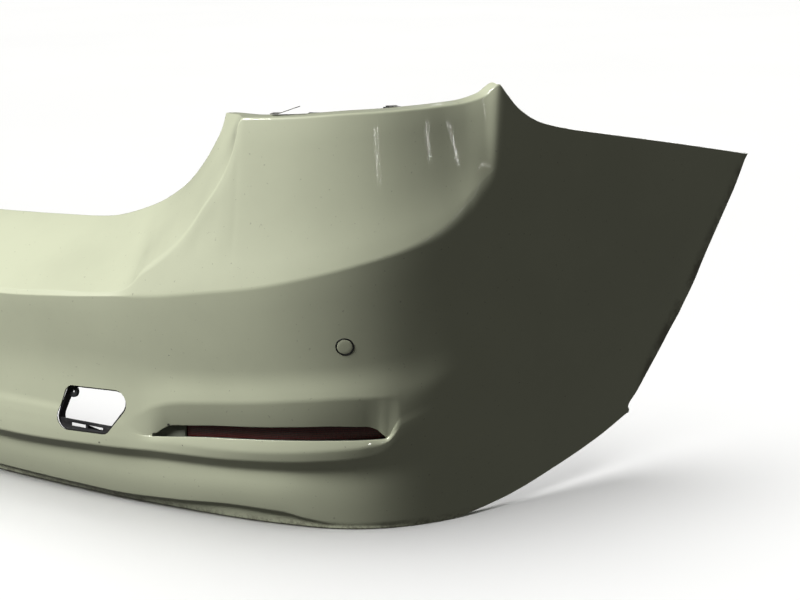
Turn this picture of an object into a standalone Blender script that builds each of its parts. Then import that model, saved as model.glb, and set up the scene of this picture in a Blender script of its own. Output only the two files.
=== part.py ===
"""Rear bumper cover of a mid-size four-door saloon, with its parking sensors, reflectors,
towing-eye frame and spring nuts.

Frame: +X to the car's right, +Y to the front of the car, +Z up.  Metres.
The skin is one moulding 3 mm thick.  It is described by the distance round the cover from
its centre line, the height above the lower edge, and the inset from the outermost plan curve.
"""
import math

import bmesh
import bpy
import numpy as np
from mathutils import Matrix, Vector

MM = 0.001

# ---- driving dimensions -------------------------------------------------------------------
WALL = 3.0 * MM               # skin thickness
GAP = 0.3 * MM                # clearance between touching pieces
CORNER = 0.80                 # distance round at which columns start to lean to the wheel arch
REACH = 1.35                  # distance round to the front tip
ARCH_FLANGE = 16.0 * MM       # flange turned in along the wheel arch
SLOT = (0.485, 0.762)         # ends of the reflector opening, distance round
SLOT_DEPTH = 34.0 * MM        # inset at which the walls of the reflector opening end

SENSORS = {"outer": (0.7105, 0.233), "inner": (0.165, 0.190)}   # distance round, height
SENSOR_HOLE_R = 11.0 * MM

TOW_CORNERS = ((0.2845, 0.0860), (0.3745, 0.0905), (0.4255, 0.1515), (0.3115, 0.1465))
TOW_ROUND = 16.0 * MM         # corner radius of the towing-eye opening
TOW_CENTRE = (0.3505, 0.1190)
TOW_SLEEVE = 2.5 * MM         # clearance and thickness of the sleeve inside the opening

# Direction the cover faces, in degrees from straight back, against distance round.
FACING = ((0, 0), (0.30, 5.5), (0.50, 10), (0.60, 17), (0.70, 33), (0.80, 55),
          (0.88, 69), (0.97, 76), (1.10, 79), (1.40, 81))

# Character lines from the lower edge to the top flange, in millimetres:
# (distance round, height, inset).  The last point of a line lies on the wheel arch.
LINES = {
    "lip_inner": ((0, 0.2, 54), (620, 0.2, 55), (690, 0.2, 50), (800, 0.2, 48), (850, 0.6, 47),
                  (936, 11, 46), (1038, 34.5, 44), (1110, 56, 42), (1158, 76, 40)),
    "lower_edge": ((0, 0, 43), (620, 0, 44), (690, 0, 39), (800, 0, 36.5), (850, 0, 36),
                   (936, 10, 35), (1038, 33.5, 34), (1110, 55, 32), (1160, 75, 30)),
    "seam_inner": ((0, 5, 41), (360, 5, 41), (468, 11, 41), (555, 17, 42), (618, 15.5, 42),
                   (653, 10, 41.5), (690, 4, 39.5), (800, 5, 37), (850, 6, 36), (936, 18, 35),
                   (1038, 43, 33.5), (1110, 65, 31.5), (1161, 85, 29.5)),
    "seam": ((0, 6.5, 34), (360, 6.5, 34), (468, 12.5, 34), (555, 18.5, 35), (618, 17, 36),
             (653, 11.5, 37), (690, 8, 38), (800, 9, 35.5), (850, 11, 35), (936, 24, 34.5),
             (1038, 50, 33), (1110, 72, 31), (1163, 93, 29)),
    "skirt": ((0, 24, 28), (360, 27, 28), (468, 34, 29), (555, 41, 30), (618, 42, 31),
              (690, 40, 33.5), (800, 45, 32), (850, 48, 31.5), (936, 65, 29), (1038, 88, 27),
              (1175, 110, 26.5)),
    "band_low": ((0, 47, 24.5), (178, 48, 24.5), (359, 57, 25), (438, 62, 28), (528, 66.5, 31),
                 (596, 70, 32), (675, 75.5, 32), (725, 79, 31), (768, 84, 29), (800, 95, 27),
                 (850, 106, 25.5), (1000, 128, 22.5), (1190, 134, 23)),
    "band_top": ((0, 61, 13), (190, 62, 13), (369, 71, 14), (446, 76, 18), (535, 79.5, 20.5),
                 (603, 84, 21.5), (678, 90, 21.5), (741, 97, 21.5), (763, 103, 21),
                 (778, 117, 19.5), (850, 129, 21), (1000, 150, 20), (1211, 163, 20)),
    "shelf": ((0, 74, 12.5), (369, 84, 13.5), (430, 86.5, 17.5), (470, 89.5, 18.5),
              (534, 92, 18.5), (586, 95, 18.5), (639, 99.5, 18.5), (690, 105, 18.5),
              (728, 109, 18.5), (750, 112.5, 19), (764, 117, 19), (779, 131, 17.5),
              (850, 144, 19), (1000, 168, 18), (1225, 184, 18)),
    "slot_low": ((0, 86, 13), (369, 96, 14), (412, 93.5, 17), (430, 92.5, 18.5), (450, 94.8, 20),
                 (470, 97.5, 21), (495, 101, 22.5), (534, 105.5, 23), (570, 108.5, 23),
                 (650, 114.5, 23), (702, 117, 23), (741, 118, 23), (762, 119, 22.5),
                 (779, 136, 17), (850, 156, 17.8), (1000, 186, 15.5), (1241, 206, 15.5)),
    "slot_mid": ((0, 92, 13.5), (369, 101, 14.3), (412, 96, 17.2), (430, 93.2, 19), (448, 95.3, 22),
                 (456, 96.4, 24.3), (470, 98.2, 28.3), (485, 101, 30), (534, 110, 31), (650, 121, 31),
                 (719, 124.5, 31), (750, 124, 30), (758, 121, 27), (762, 119.8, 24),
                 (779, 140, 17), (850, 161, 17.2), (1000, 192, 15), (1245, 213, 14.8)),
    "slot_top": ((0, 98, 14), (369, 107, 14.8), (412, 101, 17.5), (430, 96, 19), (448, 98.5, 21),
                 (456, 104, 22), (469, 110.5, 23.5), (495, 114, 24.5), (533, 119, 25),
                 (597, 125, 25), (651, 130, 25), (702, 133, 25), (736, 133, 25),
                 (750, 129.5, 24.5), (758, 123, 23.5), (762, 120.6, 23), (779, 145, 17),
                 (850, 166, 16.6), (1000, 198, 14.2), (1249, 220, 14)),
    "recess": ((0, 110, 15.5), (369, 114, 16.5), (405, 114, 17.5), (427, 122, 17),
               (446, 132.5, 16), (484, 143.5, 15.5), (516, 148, 16), (590, 157, 16.5),
               (654, 165, 16.5), (721, 170.5, 16), (778, 171, 15.5), (800, 175, 15),
               (850, 189, 13), (1000, 225, 10.5), (1264, 245, 11)),
    "hollow": ((0, 152, 15), (369, 166, 17), (430, 168, 18), (516, 176, 19), (590, 184, 19.5),
               (658, 192, 19.5), (721, 198, 19), (764, 202, 17.5), (800, 207, 16), (850, 220, 12.5),
               (1000, 262, 8.5), (1278, 275, 8.5)),
    "face": ((0, 202, 7), (369, 217, 8), (538, 234, 9), (668, 254, 9.5), (726, 264, 9),
             (784, 277, 8), (850, 296, 7), (1000, 340, 4.5), (1298, 312, 5)),
    "shoulder": ((0, 246, 0), (216, 251, 0), (318, 260, 0), (405, 270, 0), (466, 277, 0),
                 (538, 289, 0), (606, 301, 0), (668, 316, 0), (726, 332, 0), (784, 349, 0),
                 (827, 366, 0), (850, 380, 0.5), (875, 402, 1), (905, 420, 1.5), (950, 425, 2),
                 (1050, 412, 2), (1328, 362, 2)),
    "ledge": ((0, 252, 4), (216, 257, 4), (318, 266, 4), (380, 272, 4.5), (412, 277, 5),
              (430, 285, 6.5), (444, 302, 11), (457, 313, 15), (473, 325, 19), (490, 340, 23),
              (506, 359, 26.5), (525, 386, 30), (541, 408, 33), (554, 430, 35),
              (566, 459, 36.5), (572, 484, 37), (578, 490, 37), (602, 491, 37), (654, 494, 37),
              (705, 498, 37), (782, 502, 35), (835, 505.5, 31), (864, 508.5, 25), (888, 516, 15),
              (902, 529, 6), (911, 519, 4), (928, 501, 3), (959, 483, 2.5), (991, 474, 2),
              (1059, 461, 1.5), (1131, 448, 1), (1209, 434, 0.5), (1291, 418.5, 0),
              (1350, 407, 0)),
    "well": ((0, 288, 62), (320, 303, 64), (400, 316, 60), (430, 334, 59), (472, 371, 60),
             (507, 406, 60), (535, 445, 60), (556, 478, 59), (563, 490.5, 58), (600, 492, 46),
             (654, 495, 46), (705, 499, 46), (782, 503, 44), (835, 506.5, 40), (864, 509.5, 33),
             (888, 517.5, 23), (902, 530, 13), (911, 520, 10), (928, 501.5, 9), (959, 483, 8.5),
             (991, 473.5, 8), (1131, 447.5, 7), (1291, 418, 6), (1351, 407, 6)),
    "trunk_edge": ((0, 322, 120), (228, 334, 120), (300, 339, 120), (385, 362, 111),
                   (444, 392, 102), (476, 418, 94), (506, 452, 86), (522, 475, 81),
                   (527, 488.5, 80), (600, 493, 57), (654, 496, 56), (705, 500, 56),
                   (782, 504, 54), (835, 507.5, 49), (864, 510.5, 42), (888, 518.5, 31),
                   (902, 530.5, 21), (911, 520, 17), (928, 501, 15.5), (959, 482.5, 15),
                   (991, 473, 14.5), (1131, 447, 13), (1291, 417.5, 12), (1352, 406.5, 12)),
    "flange_end": ((0, 311, 124), (228, 323, 124), (300, 328, 124), (385, 351, 116),
                   (444, 382, 108), (476, 409, 100), (506, 443, 92), (522, 467, 87),
                   (527, 481, 86), (600, 488, 63), (654, 491, 62), (705, 495, 62),
                   (782, 499, 60), (835, 502.5, 55), (864, 504.5, 49), (888, 510, 38),
                   (902, 519, 28), (911, 511, 22), (928, 493, 19), (959, 475, 18),
                   (991, 466, 17.5), (1131, 440, 16), (1291, 411, 15), (1352, 400, 15)),
}
# The lower edge is flat; every line above it is crowned: it drops by this much per metre of
# distance from the sensor in the corner, and rises as much towards the centre line.
CROWN = 0.014
CROWN_FROM = 0.70
FLARE = 0.028                 # widening with height, per metre
# Columns of the top lines run inwards on the side wall of the lamp recess:
# (column, distance round) in millimetres, up to the corner of the lamp edge.
WALL_RUN = {
    "well": ((0, 0), (340, 320), (430, 410), (490, 466), (525, 500), (554, 530), (572, 553),
             (578, 563), (602, 600), (620, 620)),
    "trunk_edge": ((0, 0), (250, 228), (340, 300), (430, 385), (490, 439), (525, 471), (554, 502),
                   (572, 520), (578, 527), (602, 600), (620, 620)),
}
WALL_RUN["flange_end"] = WALL_RUN["trunk_edge"]

COLUMNS = (0.10, 0.20, 0.28, 0.33, 0.38, 0.412, 0.43, 0.444, 0.457, 0.471, 0.485, 0.506, 0.525,
           0.541, 0.554, 0.566, 0.572, 0.578, 0.602, 0.625, 0.65, 0.68, 0.71, 0.736, 0.75,
           0.758, 0.762, 0.78, 0.81, 0.84, 0.866, 0.888, 0.902, 0.911, 0.928, 0.959, 1.0, 1.06,
           1.13, 1.21, 1.29, 1.35)

CUT = 30 * MM                 # how far a cutter reaches on each side of the skin

TAB_LONG, TAB_WIDE, TAB_THICK = 17 * MM, 20 * MM, 2.5 * MM
TAB_HOLE = 9 * MM             # screw hole, from the root of the tab
LOWER_TAB = 1.5 * MM          # height of the lower tabs' underside, clear of the nuts
ARCH_TAB_PROUD = 0.55 * MM    # an arch tab's front face stands clear of the flange behind it
NUT_WIDE, NUT_STEEL = 13 * MM, 0.8 * MM

PAINT = ("paint_white", (0.66, 0.67, 0.56), 0.22, 0.0)
BLACK = ("plastic_black", (0.02, 0.02, 0.022), 0.5, 0.0)
RUBBER = ("rubber_black", (0.012, 0.012, 0.012), 0.8, 0.0)
RED = ("lens_red", (0.45, 0.01, 0.012), 0.15, 0.0)
STEEL = ("spring_steel", (0.32, 0.31, 0.29), 0.4, 1.0)


# ---- curves ---------------------------------------------------------------------------------
def smooth(knots, at, column=1):
    """Smooth curve through the knots that never overshoots them (monotone cubic)."""
    table = np.array(knots, float)
    x, y = table[:, 0], table[:, column]
    step = np.diff(x)
    slope = np.diff(y) / step
    tangent = np.zeros(len(x))
    tangent[0], tangent[-1] = slope[0], slope[-1]
    for i in range(1, len(x) - 1):
        if slope[i - 1] * slope[i] > 0:
            before = 2 * step[i] + step[i - 1]
            after = step[i] + 2 * step[i - 1]
            tangent[i] = (before + after) / (before / slope[i - 1] + after / slope[i])
    at = np.clip(at, x[0], x[-1])
    i = np.clip(np.searchsorted(x, at, side="right") - 1, 0, len(x) - 2)
    t = (at - x[i]) / step[i]
    return (y[i] * (1 + 2 * t) * (1 - t) ** 2 + tangent[i] * step[i] * t * (1 - t) ** 2
            + y[i + 1] * t * t * (3 - 2 * t) + tangent[i + 1] * step[i] * t * t * (t - 1))


ROUND = np.linspace(0, 1.4, 1401)
TURN = np.radians(smooth(FACING, ROUND))
STEP = ROUND[1] - ROUND[0]
PLAN_X = np.concatenate(([0], np.cumsum((np.cos(TURN[1:]) + np.cos(TURN[:-1])) / 2) * STEP))
PLAN_Y = np.concatenate(([0], np.cumsum((np.sin(TURN[1:]) + np.sin(TURN[:-1])) / 2) * STEP))


def place(distance, height, inset):
    """Point of the cover's right half, which widens a little with height."""
    turn = np.interp(distance, ROUND, TURN)
    x = (np.interp(distance, ROUND, PLAN_X) - np.sin(turn) * inset) * (1 + FLARE * height)
    y = np.interp(distance, ROUND, PLAN_Y) + np.cos(turn) * inset
    return (float(x), float(y), float(height))


def line_point(name, column):
    """(distance round, height, inset) in metres where a column crosses a character line."""
    knots = LINES[name]
    if name in WALL_RUN and column < 0.62:
        distance = smooth(WALL_RUN[name], column / MM) * MM
    elif column <= CORNER:
        distance = column
    else:
        end = knots[-1][0] * MM
        distance = CORNER + (column - CORNER) * (end - CORNER) / (REACH - CORNER)
    height = smooth(knots, distance / MM) * MM
    if name not in ("lip_inner", "lower_edge"):
        rise = CROWN * (CROWN_FROM - distance)
        height += rise * (0.5 if name.startswith("seam") else 1.0)
    inset = smooth(knots, distance / MM, 2) * MM
    return np.array([distance, height, inset])


def section(column):
    """Character points of one column, bottom to top, with the lamp face's two inner points."""
    points = {name: line_point(name, column) for name in LINES}
    low, high = points["shoulder"], points["ledge"]
    rows = {}
    for name, point in points.items():
        if name == "ledge":
            for label, rise, lean in (("lamp_low", 0.30, 0.45), ("lamp_high", 0.66, 0.78)):
                rows[label] = low + (high - low) * (rise, rise, lean)
                rows[label][0] = low[0] + (high[0] - low[0]) * rise
        rows[name] = point
    return rows


def inset_at(distance, height):
    """Inset of the lower face at a place between its recess line and the shoulder."""
    rows = section(distance)
    names = ("band_top", "shelf", "slot_low", "slot_top", "recess", "hollow", "face", "shoulder")
    heights = [rows[name][1] for name in names]
    return float(np.interp(height, heights, [rows[name][2] for name in names]))


def frame_at(distance, height, side=1):
    """Matrix whose Z axis is the outward normal of the lower face and whose Y axis runs up."""
    step = 0.01
    inset = inset_at(distance, height)
    here = Vector(place(distance, height, inset))
    across = (Vector(place(distance + step, height, inset_at(distance + step, height)))
              - Vector(place(distance - step, height, inset_at(distance - step, height))))
    up = (Vector(place(distance, height + step, inset_at(distance, height + step)))
          - Vector(place(distance, height - step, inset_at(distance, height - step))))
    if side < 0:
        here.x, across.x, up.x = -here.x, -across.x, -up.x
        across.negate()
    across.normalize()
    normal = across.cross(up).normalized()
    up = normal.cross(across)
    matrix = Matrix((across, up, normal)).transposed().to_4x4()
    matrix.translation = here
    return matrix


# ---- mesh helpers -----------------------------------------------------------------------------
def material(finish):
    name, colour, roughness, metallic = finish
    found = bpy.data.materials.get(name)
    if found:
        return found
    made = bpy.data.materials.new(name)
    made.use_nodes = True
    shader = made.node_tree.nodes["Principled BSDF"]
    shader.inputs["Base Color"].default_value = (*colour, 1)
    shader.inputs["Roughness"].default_value = roughness
    shader.inputs["Metallic"].default_value = metallic
    made.diffuse_color = (*colour, 1)
    return made


def mesh_from(name, points, faces):
    """Mesh of the given faces, with every normal pointing out of the closed body."""
    mesh = bpy.data.meshes.new(name)
    mesh.from_pydata([tuple(p) for p in points], [], faces)
    bm = bmesh.new()
    bm.from_mesh(mesh)
    bmesh.ops.recalc_face_normals(bm, faces=bm.faces)
    bm.to_mesh(mesh)
    bm.free()
    return mesh


def add(name, mesh, finish, matrix=None, smooth_angle=35):
    """Object of a sub-part; copies of a piece share their mesh."""
    if not mesh.materials:
        mesh.materials.append(material(finish))
        mesh.shade_smooth()
        mesh.set_sharp_from_angle(angle=math.radians(smooth_angle))
    piece = bpy.data.objects.new(name, mesh)
    bpy.context.collection.objects.link(piece)
    if matrix is not None:
        piece.matrix_world = matrix
    return piece


def sweep(rings, closed_ends=True):
    """Points and faces of a body whose closed rings have equal numbers of points."""
    count = len(rings[0])
    points = [point for ring in rings for point in ring]
    faces = []
    for r in range(len(rings) - 1):
        for i in range(count):
            j = (i + 1) % count
            faces.append((r * count + i, r * count + j, (r + 1) * count + j, (r + 1) * count + i))
    if closed_ends:
        faces.append(tuple(range(count)))
        faces.append(tuple(range((len(rings) - 1) * count, len(rings) * count)))
    return points, faces


def turned(name, profile, sides=28):
    """Body turned about Z.  The profile is a closed loop of (radius, height) points; points at
    radius 0 share one vertex."""
    points, faces, index = [], [], []
    for radius, height in profile:
        if radius == 0:
            index.append([len(points)] * sides)
            points.append((0, 0, height))
            continue
        index.append(list(range(len(points), len(points) + sides)))
        for k in range(sides):
            angle = 2 * math.pi * k / sides
            points.append((radius * math.cos(angle), radius * math.sin(angle), height))
    for r in range(len(profile)):
        low, high = index[r], index[(r + 1) % len(profile)]
        if low[0] == low[1] and high[0] == high[1]:
            continue
        for k in range(sides):
            n = (k + 1) % sides
            corners = [low[k], low[n], high[n], high[k]]
            faces.append(tuple(dict.fromkeys(corners)))
    return mesh_from(name, points, faces)


def plate(name, outline, bottom, top):
    """Flat plate of an outline of (x, y) points between two heights."""
    rings = [[(x, y, z) for x, y in outline] for z in (bottom, top)]
    return mesh_from(name, *sweep(rings))


def box(name, x, y, z):
    """Box between pairs of limits."""
    return plate(name, [(x[0], y[0]), (x[1], y[0]), (x[1], y[1]), (x[0], y[1])], *z)


def rounded(corners, radius, steps=4):
    """Outline with round corners."""
    outline = []
    count = len(corners)
    for i in range(count):
        corner = Vector(corners[i])
        before = (Vector(corners[i - 1]) - corner).normalized()
        after = (Vector(corners[(i + 1) % count]) - corner).normalized()
        half = before.angle(after) / 2
        trim = radius / math.tan(half)
        centre = corner + (before + after).normalized() * (radius / math.sin(half))
        start, end = corner + before * trim - centre, corner + after * trim - centre
        sweep_angle = start.angle_signed(end)
        for k in range(steps + 1):
            turn = Matrix.Rotation(-sweep_angle * k / steps, 2)
            outline.append(tuple(centre + turn @ start))
    return outline


def rectangle(width, height, radius, centre=(0, 0)):
    x, y = centre
    corners = [(x - width / 2, y - height / 2), (x + width / 2, y - height / 2),
               (x + width / 2, y + height / 2), (x - width / 2, y + height / 2)]
    return rounded(corners, radius, 2)


def combine(base, unions=(), cuts=()):
    """Base mesh with other meshes joined to it and cut from it by exact Booleans."""
    body = bpy.data.objects.new(base.name, base)
    bpy.context.collection.objects.link(body)
    tools = []
    for operation, group in (("UNION", unions), ("DIFFERENCE", cuts)):
        for mesh in group:
            tool = bpy.data.objects.new("tool", mesh)
            bpy.context.collection.objects.link(tool)
            tools.append(tool)
            modifier = body.modifiers.new(operation, "BOOLEAN")
            modifier.operation = operation
            modifier.solver = "EXACT"
            modifier.object = tool
    graph = bpy.context.evaluated_depsgraph_get()
    result = bpy.data.meshes.new_from_object(body.evaluated_get(graph))
    result.name = base.name
    for piece in [body, *tools]:
        bpy.data.objects.remove(piece)
    return result


def moved(mesh, matrix):
    mesh.transform(matrix)
    if matrix.determinant() < 0:
        mesh.flip_normals()
    return mesh


def mirror_x(matrix):
    """Place on the left of a piece that is alike on both sides of its own XZ plane."""
    return Matrix.Diagonal((-1, 1, 1, 1)) @ matrix @ Matrix.Diagonal((1, -1, 1, 1))


# ---- the painted skin ---------------------------------------------------------------------------
def skin_mesh():
    """Open sheet of the outer face over both halves, with the reflector openings."""
    columns = [-u for u in reversed(COLUMNS)] + [0.0] + list(COLUMNS)
    columns = [columns[0] - 1] + columns + [columns[-1] + 1]     # the flanges on the arches
    grid, params = [], []
    points = []
    for u in columns:
        rows = section(min(abs(u), REACH))
        side = -1 if u < 0 else 1
        column = []
        for name, (distance, height, inset) in rows.items():
            if abs(u) > REACH:
                if name in ("ledge", "well", "trunk_edge", "flange_end", "lip_inner",
                            "lower_edge", "seam_inner"):
                    distance += 3 * MM
                else:
                    distance += 1 * MM
                    inset += ARCH_FLANGE
            x, y, z = place(distance, height, inset)
            column.append(len(points))
            points.append((side * x, y, z))
            params.append((side, distance, height))
        grid.append(column)
    names = list(section(0.5))
    low, high = names.index("slot_low"), names.index("slot_top")
    faces, rim = [], {}
    for c in range(len(columns) - 1):
        left, right = abs(columns[c]), abs(columns[c + 1])
        in_slot = min(left, right) >= SLOT[0] - 1e-6 and max(left, right) <= SLOT[1] + 1e-6
        for r in range(len(names) - 1):
            quad = (grid[c][r], grid[c + 1][r], grid[c + 1][r + 1], grid[c][r + 1])
            if in_slot and low <= r < high:
                for a, b in zip(quad, quad[1:] + quad[:1]):
                    rim[(a, b)] = rim.get((b, a), 0) + 1
                continue
            faces.append(quad)
    # Walls of the reflector openings run straight in from the rim.
    inner = {}
    for a, b in [edge for edge in rim if (edge[1], edge[0]) not in rim]:
        for v in (a, b):
            if v not in inner:
                side, distance, height = params[v]
                x, y, z = place(distance, height, SLOT_DEPTH)
                inner[v] = len(points)
                points.append((side * x, y, z))
        faces.append((a, b, inner[b], inner[a]))
    mesh = bpy.data.meshes.new("skin")
    mesh.from_pydata(points, [], faces)
    return mesh


def solid_skin():
    """Sheet thickened inwards into one closed body."""
    body = bpy.data.objects.new("skin", skin_mesh())
    bpy.context.collection.objects.link(body)
    solidify = body.modifiers.new("wall", "SOLIDIFY")
    solidify.thickness = WALL
    solidify.offset = -1
    solidify.use_even_offset = True
    graph = bpy.context.evaluated_depsgraph_get()
    mesh = bpy.data.meshes.new_from_object(body.evaluated_get(graph))
    bpy.data.objects.remove(body)
    mesh.name = "bumper_cover"
    return mesh


def mirrored(mesh):
    """Copy of a mesh for the left half."""
    return moved(mesh.copy(), Matrix.Diagonal((-1, 1, 1, 1)))


# ---- screw tabs, each in a frame whose X axis runs to its free end ---------------------------
def inward(distance):
    turn = float(np.interp(distance, ROUND, TURN))
    return Vector((-math.sin(turn), math.cos(turn), 0))


def axes(origin, x, y):
    z = x.cross(y).normalized()
    matrix = Matrix((x.normalized(), z.cross(x.normalized()), z)).transposed().to_4x4()
    matrix.translation = origin
    return matrix


def lamp_tab(column):
    """Level tab on the flange below the rear lamp."""
    distance, height, inset = line_point("trunk_edge", column)
    along = inward(distance)
    origin = Vector(place(distance, height - 4 * MM, inset + 8 * MM))
    return axes(origin, along, Vector((0, 0, 1)).cross(along))


def arch_tab(name, other):
    """Tab on the wheel-arch flange, midway between two character lines."""
    here, there = line_point(name, REACH), line_point(other, REACH)
    distance, height, inset = (here + there) / 2
    origin = Vector(place(distance - 0.6 * MM, height, inset + ARCH_FLANGE + 1 * MM))
    edge = Vector(place(*there)) - Vector(place(*here))
    across = inward(distance)
    matrix = axes(origin, across - across.project(edge), edge)
    return matrix @ Matrix.Translation((0, 0, ARCH_TAB_PROUD))


def lower_tab(distance):
    """Level tab at the foot, which the lower insert is screwed to."""
    along = inward(distance)
    origin = Vector(place(distance, LOWER_TAB + TAB_THICK / 2, 57 * MM))
    return axes(origin, along, Vector((0, 0, 1)).cross(along))


def tab_mesh():
    return box("tab", (-7 * MM, TAB_LONG), (-TAB_WIDE / 2, TAB_WIDE / 2),
               (-TAB_THICK / 2, TAB_THICK / 2))


def screw_hole(radius=2.6 * MM, half=8 * MM):
    hole = turned("hole", [(0, -half), (radius, -half), (radius, half), (0, half)], 16)
    return moved(hole, Matrix.Translation((TAB_HOLE, 0, 0)))


def spring_nut_mesh():
    """Folded steel clip pushed over the free end of a tab, with a screw hole through both legs."""
    inner = TAB_THICK / 2 + GAP
    outer = inner + NUT_STEEL
    end = TAB_LONG + GAP
    start = TAB_HOLE - 7 * MM
    side = [(start, inner), (end, inner), (end, -inner), (start, -inner), (start, -outer),
            (end + NUT_STEEL, -outer), (end + NUT_STEEL, outer), (start, outer)]
    rings = [[(x, y, z) for x, z in side] for y in (-NUT_WIDE / 2, NUT_WIDE / 2)]
    return combine(mesh_from("spring_nut", *sweep(rings)), cuts=[screw_hole(2.1 * MM)])


# ---- parking sensors, about the outward normal of the skin ------------------------------------
def sensor_face_mesh():
    return turned("sensor_face", [(0, 0.5 * MM), (8.6 * MM, 0.4 * MM), (9.2 * MM, -0.2 * MM),
                                  (9.2 * MM, -1.8 * MM), (0, -1.8 * MM)])


def sensor_ring_mesh():
    return turned("sensor_ring", [(9.5 * MM, -0.4 * MM), (9.9 * MM, 0.4 * MM), (10.5 * MM, 0.4 * MM),
                                  (10.7 * MM, -0.1 * MM), (10.7 * MM, -4 * MM), (9.5 * MM, -4 * MM)])


def sensor_body_mesh():
    """Stepped round body with a connector socket on its back that opens downwards."""
    body = turned("sensor_body", [(0, -2.1 * MM), (9.1 * MM, -2.1 * MM), (9.1 * MM, -9 * MM),
                                  (12.3 * MM, -9 * MM), (12.3 * MM, -22 * MM), (0, -22 * MM)])
    housing = box("connector", (-7.5 * MM, 7.5 * MM), (-26 * MM, 7 * MM), (-32 * MM, -21 * MM))
    socket = box("socket", (-6 * MM, 6 * MM), (-28 * MM, -13.5 * MM), (-30.6 * MM, -22.6 * MM))
    return combine(body, [housing], [socket])


def sensor_bracket_mesh():
    """Holder behind the skin: a plate with a round collar."""
    base = plate("sensor_bracket", rectangle(46 * MM, 36 * MM, 5 * MM), -8 * MM, -6 * MM)
    collar = turned("collar", [(0, -7 * MM), (15 * MM, -7 * MM), (15 * MM, -17 * MM),
                               (0, -17 * MM)])
    bore = turned("bore", [(0, 0), (12.7 * MM, 0), (12.7 * MM, -20 * MM), (0, -20 * MM)])
    return combine(base, [collar], [bore])


def add_sensors():
    meshes = {"face": (sensor_face_mesh(), PAINT), "ring": (sensor_ring_mesh(), RUBBER),
              "body": (sensor_body_mesh(), BLACK), "bracket": (sensor_bracket_mesh(), BLACK)}
    for where, (distance, height) in SENSORS.items():
        for side, label in ((1, "right"), (-1, "left")):
            matrix = frame_at(distance, height, side)
            for piece, (mesh, finish) in meshes.items():
                add(f"sensor_{piece}_{where}_{label}", mesh, finish, matrix)


# ---- reflectors -----------------------------------------------------------------------------
def swept_bar(name, start, end, half_height, front, back, stations=14):
    """Bar that follows the reflector opening, between two insets."""
    rings = []
    for k in range(stations + 1):
        distance = start + (end - start) * k / stations
        inside = min(max(distance, SLOT[0]), SLOT[1])
        centre = (line_point("slot_low", inside)[1] + line_point("slot_top", inside)[1]) / 2
        rings.append([place(distance, centre + dz, inset) for dz, inset in
                      ((-half_height, front), (half_height, front),
                       (half_height, back), (-half_height, back))])
    return mesh_from(name, *sweep(rings))


def add_reflectors():
    lens = swept_bar("reflector_lens", 0.483, 0.768, 11.5 * MM, 35.5 * MM, 39.5 * MM)
    shell = swept_bar("reflector_housing", 0.480, 0.772, 14 * MM, 39.8 * MM, 56 * MM)
    pocket = swept_bar("pocket", 0.482, 0.769, 11.8 * MM, 39 * MM, 54 * MM)
    housing = combine(shell, cuts=[pocket])
    for name, mesh, finish in (("reflector_lens", lens, RED), ("reflector_housing", housing, BLACK)):
        add(name + "_left", mirrored(mesh), finish)
        add(name + "_right", mesh, finish)


# ---- towing-eye opening -------------------------------------------------------------------------
def tow_corners(matrix):
    """Corners of the opening in the plane of its frame."""
    inverse = matrix.inverted()
    corners = []
    for distance, height in TOW_CORNERS:
        local = inverse @ Vector(place(distance, height, inset_at(distance, height)))
        corners.append(Vector((local.x, local.y)))
    return corners


def tow_outline(matrix, grow=0.0):
    """Outline of the opening, grown by a margin."""
    corners = tow_corners(matrix)
    centre = sum(corners, Vector((0, 0))) / len(corners)
    outline = [Vector(point) for point in rounded(corners, TOW_ROUND, 5)]
    grown = []
    for i, point in enumerate(outline):
        tangent = outline[(i + 1) % len(outline)] - outline[i - 1]
        normal = Vector((tangent.y, -tangent.x)).normalized()
        if normal.dot(point - centre) < 0:
            normal.negate()
        grown.append(tuple(point + normal * grow))
    return grown


def tow_frame_mesh(matrix):
    """Collar set in the opening, with a flange behind the skin, a slotted sill and a boss."""
    sleeve = plate("tow_eye_frame", tow_outline(matrix, -0.5 * MM), -13 * MM, -2 * MM)
    flange = plate("flange", tow_outline(matrix, 5 * MM), -11 * MM, -9 * MM)
    bore = plate("bore", tow_outline(matrix, -TOW_SLEEVE), -30 * MM, 5 * MM)
    body = combine(sleeve, [flange], [bore])
    outline = tow_outline(matrix, -1.5 * MM)
    low = min(y for _, y in outline)
    left = min(x for x, _ in outline)
    inside = plate("inside", outline, -5 * MM, -3 * MM)
    above = box("above", (-0.1, 0.1), (low + 13 * MM, 0.1), (-0.1, 0.1))
    sill = combine(inside, cuts=[above])
    slots = [box("slot", (x * MM, (x + 24) * MM), (low + 4.5 * MM, low + 9 * MM), (-0.1, 0.1))
             for x in (-36, -8)]
    boss_at = Matrix.Translation((left + 20 * MM, 18 * MM, 0))
    boss = moved(turned("boss", [(0, -9 * MM), (7.5 * MM, -9 * MM), (7.5 * MM, -5 * MM),
                                 (0, -5 * MM)], 20), boss_at)
    boss_bore = moved(turned("boss_bore", [(0, -12 * MM), (2.6 * MM, -12 * MM), (2.6 * MM, 0),
                                           (0, 0)], 16), boss_at)
    return combine(body, [sill, boss], [*slots, boss_bore])


def tow_clip_place(matrix):
    """Place of the clip: against the slanting outer wall, X pointing out of the opening."""
    low, high = tow_corners(matrix)[1:3]
    edge = (high - low).normalized()
    out = Vector((edge.y, -edge.x))
    middle = (low + high) / 2 - out * (TOW_SLEEVE + GAP)
    turn = Matrix((out, edge)).transposed().to_4x4()
    return matrix @ Matrix.Translation((middle.x, middle.y, -12 * MM)) @ turn


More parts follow.
